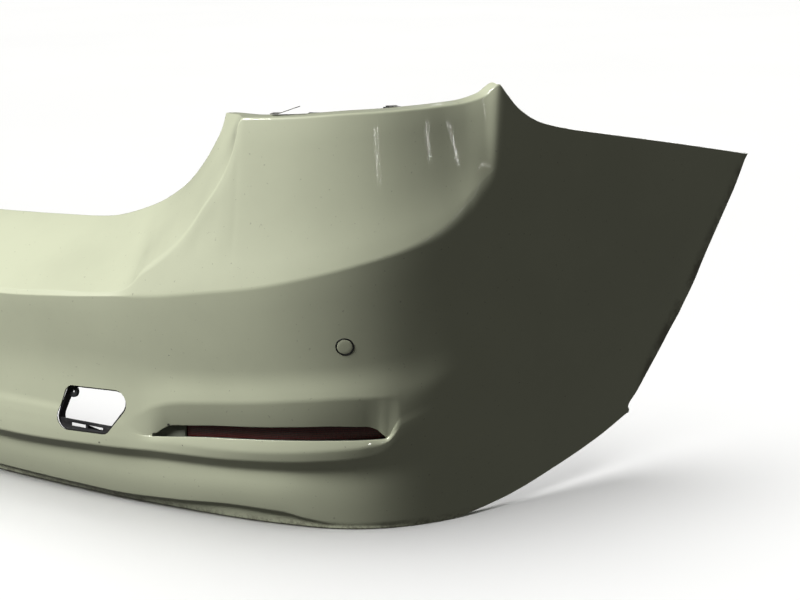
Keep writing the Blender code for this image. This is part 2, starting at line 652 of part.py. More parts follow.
def tow_clip_mesh():
    """Small bent steel clip that catches the flap."""
    side = [(0, 0), (-3 * MM, 0), (-3 * MM, -1 * MM), (-1 * MM, -1 * MM), (-1 * MM, -9 * MM),
            (0, -9 * MM)]
    rings = [[(x, y, z) for x, z in side] for y in (-3.5 * MM, 3.5 * MM)]
    return mesh_from("tow_eye_clip", *sweep(rings))


# ---- steel strip at the inner end of each lamp flange ---------------------------------------------
def lamp_strip_mesh():
    """Thin strip whose outer end is bent up off the flange."""
    side = [(0, 0), (10 * MM, 0), (34 * MM, 7 * MM), (34 * MM, 8 * MM), (9.8 * MM, 1 * MM),
            (0, 1 * MM)]
    rings = [[(x, y, z) for x, z in side] for y in (-5 * MM, 5 * MM)]
    return mesh_from("lamp_strip", *sweep(rings))


def lamp_strip_place():
    start = Vector(place(0.610, line_point("trunk_edge", 0.610)[1], 50 * MM))
    end = Vector(place(0.645, line_point("trunk_edge", 0.645)[1], 50 * MM))
    start.z += 1.0 * MM
    end.z += 1.0 * MM
    return axes(start, end - start, inward(0.62))


def centre_all():
    """Put the origin at the middle of the foot of the whole part."""
    bpy.context.view_layer.update()
    corners = [piece.matrix_world @ Vector(corner) for piece in bpy.data.objects
               for corner in piece.bound_box]
    middle = (min(c.y for c in corners) + max(c.y for c in corners)) / 2
    base = bpy.data.objects.new("origin", None)
    bpy.context.collection.objects.link(base)
    for piece in bpy.data.objects:
        if piece is not base:
            piece.parent = base
    base.location.y = -middle


def main():
    for old in list(bpy.data.objects):
        bpy.data.objects.remove(old)

    tabs = {"lamp_inner": lamp_tab(0.665), "lamp_outer": lamp_tab(0.785),
            "arch_low": arch_tab("band_low", "band_top"), "arch_middle": arch_tab("recess", "hollow"),
            "arch_high": arch_tab("face", "shoulder"),
            "lower_inner": lower_tab(0.16), "lower_outer": lower_tab(0.43)}
    with_nut = ("lamp_outer", "arch_low", "arch_high", "lower_outer")

    tow = frame_at(*TOW_CENTRE)
    unions, cuts = [], [moved(plate("tow", tow_outline(tow), -CUT, CUT), tow)]
    for matrix in tabs.values():
        for place_matrix in (matrix, mirror_x(matrix)):
            unions.append(moved(tab_mesh(), place_matrix))
            cuts.append(moved(screw_hole(), place_matrix))
    for distance, height in SENSORS.values():
        for side in (1, -1):
            hole = turned("hole", [(0, -CUT), (SENSOR_HOLE_R, -CUT), (SENSOR_HOLE_R, CUT),
                                   (0, CUT)], 28)
            cuts.append(moved(hole, frame_at(distance, height, side)))
    add("bumper_cover", combine(solid_skin(), unions, cuts), PAINT)

    add_sensors()
    add_reflectors()
    add("tow_eye_frame", tow_frame_mesh(tow), BLACK, tow)
    add("tow_eye_clip", tow_clip_mesh(), STEEL, tow_clip_place(tow))
    strip = lamp_strip_mesh()
    nut = spring_nut_mesh()
    for label, turn in (("right", lambda m: m), ("left", mirror_x)):
        add("lamp_strip_" + label, strip, STEEL, turn(lamp_strip_place()))
        for name in with_nut:
            add(f"spring_nut_{name}_{label}", nut, STEEL, turn(tabs[name]))
    centre_all()


main()
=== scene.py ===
"""Looks of the rear bumper cover of a mid-size saloon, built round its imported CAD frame.

Metres; +X to the car's right, +Y to the front of the car, +Z up.  The skin is made finely from
nearly the same character lines as the CAD skin.  The sensors' faces and rings and the reflector
lenses are made again; the other small pieces are their CAD nodes with rounded edges.
"""

import math

import bmesh
import bpy
import numpy as np
from mathutils import Matrix, Vector


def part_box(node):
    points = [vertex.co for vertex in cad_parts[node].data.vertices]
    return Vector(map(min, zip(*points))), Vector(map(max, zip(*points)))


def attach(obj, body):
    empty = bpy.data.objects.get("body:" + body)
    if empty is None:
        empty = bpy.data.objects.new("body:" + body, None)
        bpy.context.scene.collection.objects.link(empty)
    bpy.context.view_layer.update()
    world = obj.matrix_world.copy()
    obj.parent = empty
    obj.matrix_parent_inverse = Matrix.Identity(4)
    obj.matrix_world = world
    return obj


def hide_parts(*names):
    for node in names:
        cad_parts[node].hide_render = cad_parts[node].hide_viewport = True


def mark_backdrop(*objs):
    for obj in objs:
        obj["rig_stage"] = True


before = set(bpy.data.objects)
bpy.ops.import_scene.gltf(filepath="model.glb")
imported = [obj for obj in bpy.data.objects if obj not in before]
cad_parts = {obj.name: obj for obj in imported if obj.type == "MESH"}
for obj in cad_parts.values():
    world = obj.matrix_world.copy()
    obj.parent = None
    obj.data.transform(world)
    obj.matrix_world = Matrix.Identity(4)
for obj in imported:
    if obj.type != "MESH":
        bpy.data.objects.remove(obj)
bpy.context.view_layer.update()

MM = 0.001
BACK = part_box("bumper_cover")[0].y     # the rearmost point of the cover
WALL = 3.0 * MM                        # skin thickness
CORNER = 0.80                 # distance round at which columns start to lean to the wheel arch
REACH = 1.35                  # distance round to the front tip
ARCH_FLANGE = 16.0 * MM       # flange turned in along the wheel arch
SLOT = (0.485, 0.762)         # ends of the reflector opening, distance round
SLOT_DEPTH = 34.0 * MM        # inset at which the walls of the reflector opening end
SENSORS = {"outer": (0.7105, 0.233), "inner": (0.165, 0.190)}   # distance round, height
SENSOR_HOLE_R = 11.0 * MM
TOW_CORNERS = ((0.2845, 0.0860), (0.3745, 0.0905), (0.4255, 0.1515), (0.3115, 0.1465))
TOW_ROUND = 16.0 * MM         # corner radius of the towing-eye opening
TOW_CENTRE = (0.3505, 0.1190)
LAMP_CORNER = 0.602           # distance round from which the lamp face has its full height
LAMP_FACE = ((0, 0.30, 0.66, 1), (0, 0.45, 0.78, 1))    # its share of height and of inset
LAMP_ROWS = (("lamp_low", 0.30), ("lamp_high", 0.66))   # inner rows and their share of height
WALL_RUN_END = 0.62           # column from which columns stay at one distance round
CUT = 30 * MM                 # how far a cutter reaches on each side of the skin
TAB_LONG, TAB_WIDE, TAB_THICK = 17 * MM, 20 * MM, 2.5 * MM
TAB_ROOT = 7 * MM             # part of a tab that lies inside the skin it grows from
TAB_EDGE = 0.5 * MM           # radius of a tab's edges
TAB_HOLE = 9 * MM             # screw hole, from the root of the tab
TAB_HOLE_R = 2.6 * MM
LAMP_TABS = (0.665, 0.785)    # columns that the tabs below the lamp lie on
LAMP_TAB_DROP, LAMP_TAB_INSET = 4 * MM, 8 * MM      # from the trunk edge to such a tab
ARCH_TABS = (("band_low", "band_top"), ("recess", "hollow"), ("face", "shoulder"))
ARCH_TAB_BACK, ARCH_TAB_INSET = 0.6 * MM, 1 * MM    # from the end of the flange to such a tab
ARCH_TAB_PROUD = 0.55 * MM    # how far such a tab is moved off the flange along its own normal
LOWER_TABS = (0.16, 0.43)     # distance round of the tabs at the foot
LOWER_TAB = 1.5 * MM          # height of the lower tabs' underside
LOWER_TAB_INSET = 57 * MM
MERGE = 1e-6                  # points closer together than this become one
SLIVER = 1e-7                 # edges of a turned body shorter than this are dropped
SAME = 1e-9                   # distances round closer together than this count as equal
SHARP_SKIN, SHARP_PIECE = 32, 40    # angle in degrees from which an edge is shaded sharp

# Direction the cover faces, in degrees from straight back, against distance round.
FACING = ((0, 0), (0.30, 5.5), (0.50, 10), (0.60, 17), (0.70, 33), (0.80, 55),
          (0.88, 69), (0.97, 76), (1.10, 79), (1.40, 81))

# Character lines from the lower edge to the top flange, in millimetres:
# (distance round, height, inset).  The last point of a line lies on the wheel arch.
# They follow the CAD's lines, except that the crease of the lamp recess lies on the lamp face
# here, the shelf below the reflector slot is less steep and the lip stands further out.
LINES = {
    "lip_inner": ((0, 0.2, 48), (620, 0.2, 53), (690, 0.2, 50), (800, 0.2, 48), (850, 0.6, 47),
                  (936, 11, 46), (1038, 34.5, 44), (1110, 56, 42), (1158, 76, 40)),
    "lower_edge": ((0, 0, 38), (620, 0, 43), (690, 0, 39), (800, 0, 36.5), (850, 0, 36),
                   (936, 10, 35), (1038, 33.5, 34), (1110, 55, 32), (1160, 75, 30)),
    "seam_inner": ((0, 5, 37), (360, 5, 37), (468, 11, 38), (555, 17, 40), (618, 15.5, 42),
                   (653, 10, 41.5), (690, 4, 39.5), (800, 5, 37), (850, 6, 36), (936, 18, 35),
                   (1038, 43, 33.5), (1110, 65, 31.5), (1161, 85, 29.5)),
    "seam": ((0, 6.5, 34), (360, 6.5, 34), (468, 12.5, 34), (555, 18.5, 35), (618, 17, 36),
             (653, 11.5, 37), (690, 8, 38), (800, 9, 35.5), (850, 11, 35), (936, 24, 34.5),
             (1038, 50, 33), (1110, 72, 31), (1163, 93, 29)),
    "skirt": ((0, 24, 28), (360, 27, 28), (468, 34, 29), (555, 41, 30), (618, 42, 31),
              (690, 40, 33.5), (800, 45, 32), (850, 48, 31.5), (936, 65, 29), (1038, 88, 27),
              (1175, 110, 26.5)),
    "band_low": ((0, 47, 24.5), (178, 48, 24.5), (359, 57, 25), (438, 62, 28), (528, 66.5, 31),
                 (596, 70, 32), (675, 75.5, 32), (725, 79, 31), (768, 84, 29), (800, 95, 27),
                 (850, 106, 25.5), (1000, 128, 22.5), (1190, 134, 23)),
    "band_top": ((0, 61, 13), (190, 62, 13), (369, 71, 14), (446, 76, 18), (535, 79.5, 20.5),
                 (603, 84, 21.5), (678, 90, 21.5), (741, 97, 21.5), (763, 103, 21),
                 (778, 117, 19.5), (850, 129, 21), (1000, 150, 20), (1211, 163, 20)),
    "shelf": ((0, 74, 12.5), (369, 84, 13.5), (430, 86.5, 17.5), (470, 89.5, 18.5),
              (534, 92, 18.5), (586, 95, 18.5), (639, 99.5, 18.5), (690, 105, 18.5),
              (728, 109, 18.5), (750, 112.5, 19), (764, 117, 19), (779, 131, 17.5),
              (850, 144, 19), (1000, 168, 18), (1225, 184, 18)),
    "slot_low": ((0, 86, 13), (369, 96, 14), (412, 93.5, 17), (430, 92.5, 18.5), (450, 94.8, 20),
                 (470, 97.5, 20), (495, 101, 20.5), (534, 105.5, 20.8), (570, 108.5, 20.8),
                 (650, 114.5, 20.8), (702, 117, 20.8), (741, 118, 21), (762, 119, 21.5),
                 (779, 136, 17), (850, 156, 17.8), (1000, 186, 15.5), (1241, 206, 15.5)),
    "slot_mid": ((0, 92, 13.5), (369, 101, 14.3), (412, 96, 17.2), (430, 93.2, 19), (448, 95.3, 22),
                 (456, 96.4, 24.3), (470, 98.2, 28.3), (485, 101, 30), (534, 110, 31), (650, 121, 31),
                 (719, 124.5, 31), (750, 124, 30), (758, 121, 27), (762, 119.8, 24),
                 (779, 140, 17), (850, 161, 17.2), (1000, 192, 15), (1245, 213, 14.8)),
    "slot_top": ((0, 98, 14), (369, 107, 14.8), (412, 101, 17.5), (430, 96, 19), (448, 98.5, 21),
                 (456, 104, 22), (469, 110.5, 23.5), (495, 114, 24.5), (533, 119, 25),
                 (597, 125, 25), (651, 130, 25), (702, 133, 25), (736, 133, 25),
                 (750, 129.5, 24.5), (758, 123, 23.5), (762, 120.6, 23), (779, 145, 17),
                 (850, 166, 16.6), (1000, 198, 14.2), (1249, 220, 14)),
    "recess": ((0, 110, 15.5), (369, 114, 16.5), (405, 114, 17.5), (427, 122, 17),
               (446, 132.5, 16), (484, 143.5, 15.5), (516, 148, 16), (590, 157, 16.5),
               (654, 165, 16.5), (721, 170.5, 16), (778, 171, 15.5), (800, 175, 15),
               (850, 189, 13), (1000, 225, 10.5), (1264, 245, 11)),
    "hollow": ((0, 152, 15), (369, 166, 17), (430, 168, 18), (516, 176, 19), (590, 184, 19.5),
               (658, 192, 19.5), (721, 198, 19), (764, 202, 17.5), (800, 207, 16), (850, 220, 12.5),
               (1000, 262, 8.5), (1278, 275, 8.5)),
    "face": ((0, 202, 7), (369, 217, 8), (538, 234, 9), (668, 254, 9.5), (726, 264, 9),
             (784, 277, 8), (850, 296, 7), (1000, 340, 4.5), (1298, 312, 5)),
    "shoulder": ((0, 246, 0), (216, 251, 0), (318, 260, 0), (405, 270, 0), (466, 277, 0),
                 (538, 289, 0), (606, 301, 0), (668, 316, 0), (726, 332, 0), (784, 349, 0),
                 (827, 366, 0), (850, 380, 0.5), (875, 402, 1), (905, 420, 1.5), (950, 425, 2),
                 (1050, 412, 2), (1328, 362, 2)),
    "ledge": ((0, 252, 4), (216, 257, 4), (318, 266, 4), (380, 271, 3.5), (414.5, 277, 3),
              (432, 286, 4.5), (446, 302.5, 8.2), (460, 314, 11), (477, 326.5, 13.9),
              (494, 341.5, 17.1), (510.5, 360.5, 20), (529, 387.5, 24.2), (544.5, 409, 27.6),
              (557, 431, 30.4), (567.5, 459.5, 33.8), (572.1, 484, 36.8), (578, 490, 37),
              (602, 491, 37), (654, 494, 37), (705, 498, 37), (782, 502, 35), (835, 505.5, 31),
              (864, 508.5, 25), (888, 516, 15), (902, 529, 6), (911, 519, 4), (928, 501, 3),
              (959, 483, 2.5), (991, 474, 2), (1059, 461, 1.5), (1131, 448, 1), (1209, 434, 0.5),
              (1291, 418.5, 0), (1350, 407, 0)),
    "well": ((0, 288, 62), (320, 303, 64), (400, 316, 60), (430, 334, 59), (472, 371, 60),
             (507, 406, 60), (535, 445, 60), (556, 478, 59), (563, 490.5, 58), (600, 492, 46),
             (654, 495, 46), (705, 499, 46), (782, 503, 44), (835, 506.5, 40), (864, 509.5, 33),
             (888, 517.5, 23), (902, 530, 13), (911, 520, 10), (928, 501.5, 9), (959, 483, 8.5),
             (991, 473.5, 8), (1131, 447.5, 7), (1291, 418, 6), (1351, 407, 6)),
    "trunk_edge": ((0, 322, 120), (228, 334, 120), (300, 339, 120), (385, 362, 111),
                   (444, 392, 102), (476, 418, 94), (506, 452, 86), (522, 475, 81),
                   (527, 488.5, 80), (600, 493, 57), (654, 496, 56), (705, 500, 56),
                   (782, 504, 54), (835, 507.5, 49), (864, 510.5, 42), (888, 518.5, 31),
                   (902, 530.5, 21), (911, 520, 17), (928, 501, 15.5), (959, 482.5, 15),
                   (991, 473, 14.5), (1131, 447, 13), (1291, 417.5, 12), (1352, 406.5, 12)),
    "flange_end": ((0, 311, 124), (228, 323, 124), (300, 328, 124), (385, 351, 116),
                   (444, 382, 108), (476, 409, 100), (506, 443, 92), (522, 467, 87),
                   (527, 481, 86), (600, 488, 63), (654, 491, 62), (705, 495, 62),
                   (782, 499, 60), (835, 502.5, 55), (864, 504.5, 49), (888, 510, 38),
                   (902, 519, 28), (911, 511, 22), (928, 493, 19), (959, 475, 18),
                   (991, 466, 17.5), (1131, 440, 16), (1291, 411, 15), (1352, 400, 15)),
}
# The lower edge is flat.  Every line above it rises by this much per metre towards the centre
# line and drops as much away from it, with no change at the sensor in the corner.  The two seam
# lines rise and drop by half.
CROWN = 0.014
CROWN_FROM = 0.70
FLARE = 0.028                 # widening with height, per metre
# Columns of the top lines run inwards on the side wall of the lamp recess:
# (column, distance round) in millimetres, up to the corner of the lamp edge.
WALL_RUN = {
    "well": ((0, 0), (340, 320), (430, 410), (490, 466), (525, 500), (554, 530), (572, 553),
             (578, 563), (602, 600), (620, 620)),
    "trunk_edge": ((0, 0), (250, 228), (340, 300), (430, 385), (490, 439), (525, 471), (554, 502),
                   (572, 520), (578, 527), (602, 600), (620, 620)),
}
WALL_RUN["flange_end"] = WALL_RUN["trunk_edge"]


# ---- curves, as in the CAD ----
def smooth(knots, at, column=1):
    """Smooth curve through the knots that never overshoots them (monotone cubic)."""
    table = np.array(knots, float)
    x, y = table[:, 0], table[:, column]
    step = np.diff(x)
    slope = np.diff(y) / step
    tangent = np.zeros(len(x))
    tangent[0], tangent[-1] = slope[0], slope[-1]
    for i in range(1, len(x) - 1):
        if slope[i - 1] * slope[i] > 0:
            before = 2 * step[i] + step[i - 1]
            after = step[i] + 2 * step[i - 1]
            tangent[i] = (before + after) / (before / slope[i - 1] + after / slope[i])
    at = np.clip(at, x[0], x[-1])
    i = np.clip(np.searchsorted(x, at, side="right") - 1, 0, len(x) - 2)
    t = (at - x[i]) / step[i]
    return (y[i] * (1 + 2 * t) * (1 - t) ** 2 + tangent[i] * step[i] * t * (1 - t) ** 2
            + y[i + 1] * t * t * (3 - 2 * t) + tangent[i + 1] * step[i] * t * t * (t - 1))


ROUND = np.linspace(0, 1.4, 1401)
TURN = np.radians(smooth(FACING, ROUND))
STEP = ROUND[1] - ROUND[0]
PLAN_X, PLAN_Y = (np.concatenate(([0], np.cumsum((part[1:] + part[:-1]) / 2) * STEP))
                  for part in (np.cos(TURN), np.sin(TURN)))


def place(distance, height, inset):
    """Point of the cover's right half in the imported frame."""
    turn = np.interp(distance, ROUND, TURN)
    x = (np.interp(distance, ROUND, PLAN_X) - np.sin(turn) * inset) * (1 + FLARE * height)
    y = np.interp(distance, ROUND, PLAN_Y) + np.cos(turn) * inset + BACK
    return (float(x), float(y), float(height))


def line_point(name, column):
    """(distance round, height, inset) in metres where a column crosses a character line."""
    knots = LINES[name]
    if name in WALL_RUN and column < WALL_RUN_END:
        distance = smooth(WALL_RUN[name], column / MM) * MM
    elif column <= CORNER:
        distance = column
    else:
        end = knots[-1][0] * MM
        distance = CORNER + (column - CORNER) * (end - CORNER) / (REACH - CORNER)
    height = smooth(knots, distance / MM) * MM
    if name not in ("lip_inner", "lower_edge"):
        rise = CROWN * (CROWN_FROM - distance)
        height += rise * (0.5 if name.startswith("seam") else 1.0)
    inset = smooth(knots, distance / MM, 2) * MM
    return np.array([distance, height, inset])


def section(column):
    """Character points of one column, bottom to top, with the lamp face's two inner points."""
    points = {name: line_point(name, column) for name in LINES}
    low, high = points["shoulder"], points["ledge"]
    full = line_point("ledge", LAMP_CORNER) if column < LAMP_CORNER else high
    part = (high[1] - low[1]) / (full[1] - low[1])
    rows = {}
    for name, point in points.items():
        if name == "ledge":
            for label, rise in LAMP_ROWS:
                lean = np.interp(rise * part, *LAMP_FACE) / np.interp(part, *LAMP_FACE)
                rows[label] = low + (high - low) * (rise, rise, lean)
        rows[name] = point
    return rows


def inset_at(distance, height):
    """Inset of the lower face at a place between its recess line and the shoulder."""
    rows = section(distance)
    names = ("band_top", "shelf", "slot_low", "slot_top", "recess", "hollow", "face", "shoulder")
    heights = [rows[name][1] for name in names]
    return float(np.interp(height, heights, [rows[name][2] for name in names]))


def on_face(distance, height):
    """Point on the lower face of the right half."""
    return Vector(place(distance, height, inset_at(distance, height)))


def frame_at(distance, height, side=1):
    """Matrix whose Z axis is the outward normal of the lower face and whose Y axis runs up."""
    step = 0.01
    here = on_face(distance, height)
    across = on_face(distance + step, height) - on_face(distance - step, height)
    up = on_face(distance, height + step) - on_face(distance, height - step)
    if side < 0:
        here.x, across.x, up.x = -here.x, -across.x, -up.x
        across.negate()
    across.normalize()
    normal = across.cross(up).normalized()
    up = normal.cross(across)
    matrix = Matrix((across, up, normal)).transposed().to_4x4()
    matrix.translation = here
    return matrix


# ---- mesh helpers ----
def new_object(name, mesh, materials=()):
    """Object in the scene that shows a mesh in the given materials."""
    piece = bpy.data.objects.new(name, mesh)
    bpy.context.scene.collection.objects.link(piece)
    for material in materials:
        mesh.materials.append(material)
    return piece


def apply_modifiers(piece):
    """Replace a piece's mesh by the result of its modifiers."""
    graph = bpy.context.evaluated_depsgraph_get()
    mesh = bpy.data.meshes.new_from_object(piece.evaluated_get(graph))
    piece.modifiers.clear()
    piece.data = mesh


def shade(mesh, angle):
    """Shade a mesh smooth, but for the edges that turn by an angle in degrees or more."""
    mesh.shade_smooth()
    mesh.set_sharp_from_angle(angle=math.radians(angle))


def to_mesh(bm, name):
    """New mesh made from a bmesh, which is freed."""
    mesh = bpy.data.meshes.new(name)
    bm.to_mesh(mesh)
    bm.free()
    return mesh


def turned(name, profile, sides=64):
    """Body turned about Z from a closed loop of (radius, height) points."""
    bm = bmesh.new()
    loop = [bm.verts.new((radius, 0, height)) for radius, height in profile]
    edges = [bm.edges.new((loop[i - 1], loop[i])) for i in range(len(loop))]
    bmesh.ops.spin(bm, geom=loop + edges, cent=(0, 0, 0), axis=(0, 0, 1), angle=2 * math.pi,
                   steps=sides, use_duplicate=False)
    bmesh.ops.remove_doubles(bm, verts=bm.verts, dist=MERGE)
    bmesh.ops.dissolve_degenerate(bm, dist=SLIVER, edges=bm.edges)
    bmesh.ops.recalc_face_normals(bm, faces=bm.faces)
    return to_mesh(bm, name)


def box(name, x, y, z):
    """Box between pairs of limits."""
    bm = bmesh.new()
    bmesh.ops.create_cube(bm, size=1)
    size = Matrix.Diagonal((x[1] - x[0], y[1] - y[0], z[1] - z[0], 1))
    centre = Matrix.Translation(((x[0] + x[1]) / 2, (y[0] + y[1]) / 2, (z[0] + z[1]) / 2))
    bm.transform(centre @ size)
    return to_mesh(bm, name)


def pin_profile(radius, reach):
    """Half section of a plain pin, as long above its origin as below it."""
    return [(0, -reach), (radius, -reach), (radius, reach), (0, reach)]


def round_edges(piece, width):
    """Add a modifier that rounds a piece's edges, and return it."""
    bevel = piece.modifiers.new("round", "BEVEL")
    bevel.width = width
    bevel.segments = 3
    return bevel


def mirror_x(matrix):
    """Place on the left of a piece that is alike on both sides of its own XZ plane."""
    return Matrix.Diagonal((-1, 1, 1, 1)) @ matrix @ Matrix.Diagonal((1, -1, 1, 1))


# ---- shader helpers ----
class Nodes:
    """A material's node tree, with the few nodes that the finishes are built from."""

    def __init__(self, name):
        self.material = bpy.data.materials.new(name)
        self.material.use_nodes = True
        self.tree = self.material.node_tree
        self.shader = self.tree.nodes["Principled BSDF"]
        self.place = self.tree.nodes.new("ShaderNodeTexCoord").outputs["Object"]

    def link(self, value, socket):
        if isinstance(value, bpy.types.NodeSocket):
            self.tree.links.new(value, socket)
        else:
            socket.default_value = value

    def noise(self, scale, detail=3.0, roughness=0.5, stretch=None, distortion=0.0):
        node = self.tree.nodes.new("ShaderNodeTexNoise")
        node.inputs["Scale"].default_value = scale
        node.inputs["Detail"].default_value = detail
        node.inputs["Roughness"].default_value = roughness
        node.inputs["Distortion"].default_value = distortion
        self.link(self.stretched(stretch) if stretch else self.place, node.inputs["Vector"])
        return node.outputs["Fac"]

    def cells(self, scale):
        node = self.tree.nodes.new("ShaderNodeTexVoronoi")
        node.inputs["Scale"].default_value = scale
        self.link(self.place, node.inputs["Vector"])
        return node.outputs["Distance"]

    def stretched(self, stretch):
        node = self.tree.nodes.new("ShaderNodeMapping")
        node.inputs["Scale"].default_value = stretch
        self.link(self.place, node.inputs["Vector"])
        return node.outputs["Vector"]

    def math(self, operation, a, b=0.0, clamp=False):
        node = self.tree.nodes.new("ShaderNodeMath")
        node.operation = operation
        node.use_clamp = clamp
        self.link(a, node.inputs[0])
        self.link(b, node.inputs[1])
        return node.outputs[0]

    def ramp(self, value, low, high, start=0.0, end=1.0):
        """Value mapped smoothly from low..high to start..end, and clamped."""
        node = self.tree.nodes.new("ShaderNodeMapRange")
        node.interpolation_type = "SMOOTHSTEP"
        for name, number in (("From Min", low), ("From Max", high), ("To Min", start),
                             ("To Max", end)):
            node.inputs[name].default_value = number
        self.link(value, node.inputs["Value"])
        return node.outputs["Result"]

    def mix(self, factor, first, second):
        node = self.tree.nodes.new("ShaderNodeMix")
        node.data_type = "RGBA"
        self.link(factor, node.inputs[0])
        for colour, socket in ((first, node.inputs[6]), (second, node.inputs[7])):
            self.link((*colour, 1) if isinstance(colour, tuple) else colour, socket)
        return node.outputs[2]

    def vector(self, operation, first, second):
        node = self.tree.nodes.new("ShaderNodeVectorMath")
        node.operation = operation
        self.link(first, node.inputs[0])
        self.link(second, node.inputs[1])
        return node

    def axis(self, direction, origin=(0, 0, 0)):
        """How far a point lies along a direction from an origin, in metres."""
        less = self.vector("SUBTRACT", self.place, origin)
        return self.vector("DOT_PRODUCT", less.outputs["Vector"], direction).outputs["Value"]

    def near(self, point):
        """Distance to a point, in metres."""
        return self.vector("DISTANCE", self.place, point).outputs["Value"]

    def bump(self, height, strength, distance, below=None):
        node = self.tree.nodes.new("ShaderNodeBump")
        node.inputs["Strength"].default_value = strength
        node.inputs["Distance"].default_value = distance
        self.link(height, node.inputs["Height"])
        if below is not None:
            self.link(below, node.inputs["Normal"])
        return node.outputs["Normal"]

    def finish(self, **sockets):
        for name, value in sockets.items():
            value = (*value, 1) if isinstance(value, tuple) and len(value) == 3 else value
            self.link(value, self.shader.inputs[name.replace("_", " ")])
        return self.material


# ---- finishes ----
WHITE = (0.66, 0.69, 0.50)
DIRT = (0.16, 0.145, 0.10)
PRIMER = (0.06, 0.06, 0.055)
BLACK = (0.016, 0.016, 0.017)
# Stone chips and scuffs on the right side: (distance round, height, radius).
CHIPS = ((0.466, 0.1145, 2.6 * MM), (0.363, 0.079, 1.8 * MM), (0.489, 0.0925, 1.3 * MM),
         (0.480, 0.1150, 1.2 * MM), (0.478, 0.206, 0.9 * MM), (0.611, 0.355, 1.0 * MM),
         (0.566, 0.341, 0.9 * MM), (0.560, 0.170, 0.8 * MM), (0.835, 0.372, 1.0 * MM))


def paint_finish():
    """Warm white paint under clear coat, with orange peel, haze, chips and road dirt."""
    n = Nodes("paint_white")
    peel = n.noise(420, 2.0, 0.55)
    waves = n.noise(9, 1.0, 0.4)
    hairs = n.noise(60, 4.0, 0.7, stretch=(1, 14, 26))
    cloud = n.noise(5.5, 5.0, 0.6)
    colour = n.mix(n.ramp(cloud, 0.35, 0.7), WHITE, tuple(c * 0.94 for c in WHITE))

    # Dirt lies along the wheel arch and at the foot, and in fine specks all over.
    low, high = (Vector(place(*line_point(name, REACH))) for name in ("skirt", "shoulder"))
    edge = (high - low).normalized()
    inward_of_arch = Vector((0, -edge.z, edge.y))
    speck = n.noise(95, 6.0, 0.75)
    patch = n.noise(22, 5.0, 0.7)
    arch = n.ramp(n.axis(inward_of_arch, low), 0.002, 0.020, 1.0, 0.0)
    front = n.ramp(n.axis((0, 1, 0), low), -0.012, 0.01)
    arch_dirt = n.math("MULTIPLY", n.math("MULTIPLY", arch, front), n.ramp(patch, 0.38, 0.62))
    foot = n.ramp(n.axis((0, 0, 1)), 0.001, 0.012, 1.0, 0.0)
    foot_dirt = n.math("MULTIPLY", foot, n.ramp(speck, 0.42, 0.62))
    dirt = n.math("MAXIMUM", n.math("MULTIPLY", arch_dirt, 0.75), n.math("MULTIPLY", foot_dirt, 0.65))
    specks = n.math("MULTIPLY", n.ramp(n.noise(240, 2.0), 0.70, 0.78), 0.35)
    dirt = n.math("MAXIMUM", dirt, specks)
    colour = n.mix(dirt, colour, DIRT)

    chipped = 0.0
    ragged = n.noise(900, 3.0)
    for distance, height, radius in CHIPS:
        away = n.near(on_face(distance, height))
        reach = n.math("ADD", away, n.math("MULTIPLY", ragged, 4.0 * MM))
        spot = n.ramp(reach, radius * 0.6 + 1.6 * MM, radius * 0.9 + 2.0 * MM, 1.0, 0.0)
        chipped = n.math("MAXIMUM", chipped, spot)
    colour = n.mix(chipped, colour, PRIMER)

    scratch = n.ramp(hairs, 0.66, 0.72)
    dull = n.math("MAXIMUM", n.math("MULTIPLY", dirt, 0.55), n.math("MULTIPLY", scratch, 0.10))
    height = n.math("ADD", peel, n.math("MULTIPLY", waves, 2.0))
    skin = n.bump(height, 0.035, 0.6 * MM)
    skin = n.bump(n.math("MULTIPLY", chipped, -1.0), 0.5, 0.15 * MM, below=skin)
    return n.finish(Base_Color=colour, Roughness=n.math("ADD", 0.42, dull, clamp=True),
                    Specular_IOR_Level=0.35, Coat_Weight=0.9, Coat_IOR=1.5,
                    Coat_Roughness=n.math("ADD", 0.03, n.math("MULTIPLY", dull, 0.7)),
                    Normal=skin, Coat_Normal=skin)


def overspray_and_painted_shade():
    """Thin grey mist of paint on black plastic, inside the reflector slots, darkened as painted
    shade.
    """
    n = Nodes("overspray_painted_shade")
    mist = n.ramp(n.noise(55, 6.0, 0.7), 0.3, 0.7)
    grain = n.cells(1100)
    return n.finish(Base_Color=n.mix(mist, (0.125, 0.13, 0.10), (0.18, 0.19, 0.15)),
                    Roughness=n.ramp(mist, 0, 1, 0.75, 0.55), Specular_IOR_Level=0.25,
                    Normal=n.bump(grain, 0.15, 0.1 * MM))


def black_plastic():
    """Moulded black plastic with a fine leather grain, flow marks and settled dust."""
    n = Nodes("plastic_black")
    grain = n.cells(1400)
    flow = n.noise(14, 4.0, 0.6, stretch=(1, 1, 5))
    dust = n.math("MULTIPLY", n.ramp(n.noise(36, 7.0, 0.75), 0.5, 0.72), 0.35)
    tone = n.mix(n.ramp(flow, 0.3, 0.7), BLACK, tuple(c * 1.7 for c in BLACK))
    return n.finish(Base_Color=n.mix(dust, tone, (0.13, 0.125, 0.11)),
                    Roughness=n.ramp(flow, 0.2, 0.8, 0.42, 0.62), Specular_IOR_Level=0.4,
                    Normal=n.bump(grain, 0.25, 0.12 * MM, below=n.bump(flow, 0.08, 1 * MM)))


def rubber():
    """Matt rubber, greyed where dust has rubbed in."""
    n = Nodes("rubber_black")
    dust = n.ramp(n.noise(260, 5.0, 0.7), 0.45, 0.75)
    return n.finish(Base_Color=n.mix(dust, (0.010, 0.010, 0.010), (0.035, 0.034, 0.032)),
                    Roughness=n.ramp(dust, 0, 1, 0.72, 0.9),
                    Normal=n.bump(n.noise(1800, 2.0), 0.2, 0.1 * MM))


